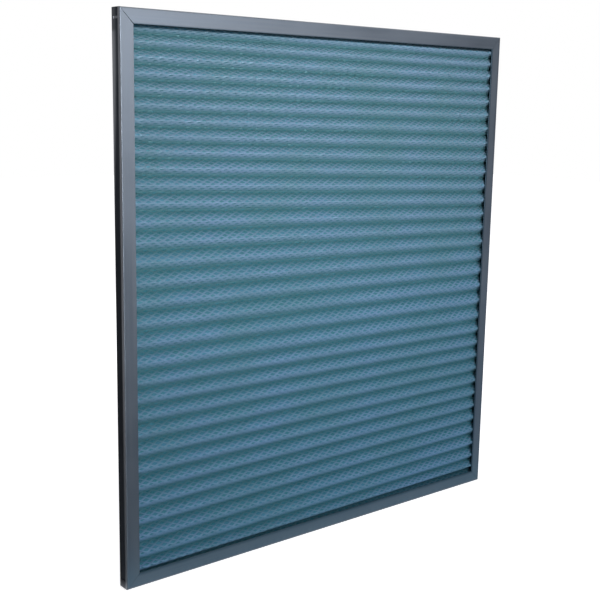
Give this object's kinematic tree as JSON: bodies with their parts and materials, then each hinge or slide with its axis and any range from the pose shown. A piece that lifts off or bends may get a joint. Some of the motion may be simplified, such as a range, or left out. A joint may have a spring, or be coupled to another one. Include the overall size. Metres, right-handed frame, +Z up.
{
  "type": "coarse air filter",
  "caption": "Flat ventilation panel filter: horizontally pleated blue fibre media between expanded metal meshes in a mitred aluminium channel frame.",
  "frame": {"origin": "middle of the underside of the bottom rail, half way through the panel's depth", "axes": "+X to the right seen from the front, +Y from the front face to the rear face, +Z up"},
  "size_m": [0.592, 0.017, 0.635],
  "materials": {
    "frame_aluminium": "satin mill finish, slightly dulled",
    "key_steel": "zinc plated strip",
    "seal_compound": "matte set compound",
    "mesh_metal": "satin expanded sheet",
    "media_fibre": "matte nonwoven fibre"
  },
  "bodies": {
    "root": {"frame_rail_top": "frame_aluminium", "frame_rail_bottom": "frame_aluminium", "frame_stile_left": "frame_aluminium", "frame_stile_right": "frame_aluminium", "corner_key_top_left": "key_steel", "corner_key_top_right": "key_steel", "corner_key_bottom_left": "key_steel", "corner_key_bottom_right": "key_steel", "edge_seal_top": "seal_compound", "edge_seal_bottom": "seal_compound", "edge_seal_left": "seal_compound", "edge_seal_right": "seal_compound", "front_mesh": "mesh_metal", "filter_media": "media_fibre", "rear_mesh": "mesh_metal"}
  },
  "joints": []
}
